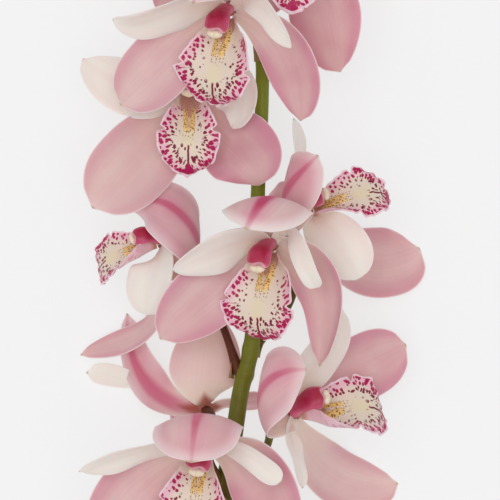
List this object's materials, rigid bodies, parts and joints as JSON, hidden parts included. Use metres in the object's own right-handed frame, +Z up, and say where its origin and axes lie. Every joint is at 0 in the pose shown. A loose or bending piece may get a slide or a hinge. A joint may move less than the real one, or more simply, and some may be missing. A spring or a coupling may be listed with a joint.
{
  "type": "cymbidium orchid stem",
  "caption": "Cut cymbidium orchid stem lying on a table: an arching spike with open pink blooms, spotted cream lips, crimson columns, flower stalks, buds and papery sheaths.",
  "frame": {"origin": "on the table, under the middle of the stem's bounding box as it lies", "axes": "+Z up from the table, +Y along the spike towards its buds with the cut end towards -Y, +X across the stem"},
  "size_m": [0.1752, 0.5196, 0.1325],
  "materials": {
    "stem": "green to olive plant stem with fine lengthwise fibres, flower stalks dark red-brown",
    "sheath": "dry papery sheath with lengthwise veins",
    "bud": "closed bud, yellow-green flushed with pink",
    "sepal": "waxy pink sepal, mauve towards its margins and creamy at its base, faint lengthwise veins",
    "petal": "waxy cream-white petal with a slight pink flush and faint lengthwise veins",
    "lip": "cream lip with magenta spots and tip patch, two golden ridges and a wavy pale margin",
    "column": "crimson waxy column with a cream-white anther cap"
  },
  "bodies": {
    "root": {"stem": "stem", "sheath_1": "sheath", "sheath_2": "sheath", "sheath_3": "sheath", "bloom_01_sepals": "sepal", "bloom_01_petals": "petal", "bloom_01_lip": "lip", "bloom_01_column": "column", "bloom_02_sepals": "sepal", "bloom_02_petals": "petal", "bloom_02_lip": "lip", "bloom_02_column": "column", "bloom_03_sepals": "sepal", "bloom_03_petals": "petal", "bloom_03_lip": "lip", "bloom_03_column": "column", "bloom_04_sepals": "sepal", "bloom_04_petals": "petal", "bloom_04_lip": "lip", "bloom_04_column": "column", "bloom_05_sepals": "sepal", "bloom_05_petals": "petal", "bloom_05_lip": "lip", "bloom_05_column": "column", "bloom_06_sepals": "sepal", "bloom_06_petals": "petal", "bloom_06_lip": "lip", "bloom_06_column": "column", "bloom_07_sepals": "sepal", "bloom_07_petals": "petal", "bloom_07_lip": "lip", "bloom_07_column": "column", "bloom_08_sepals": "sepal", "bloom_08_petals": "petal", "bloom_08_lip": "lip", "bloom_08_column": "column", "bloom_09_sepals": "sepal", "bloom_09_petals": "petal", "bloom_09_lip": "lip", "bloom_09_column": "column", "bloom_10_sepals": "sepal", "bloom_10_petals": "petal", "bloom_10_lip": "lip", "bloom_10_column": "column", "bud_1": "bud", "bud_2": "bud"}
  },
  "joints": []
}
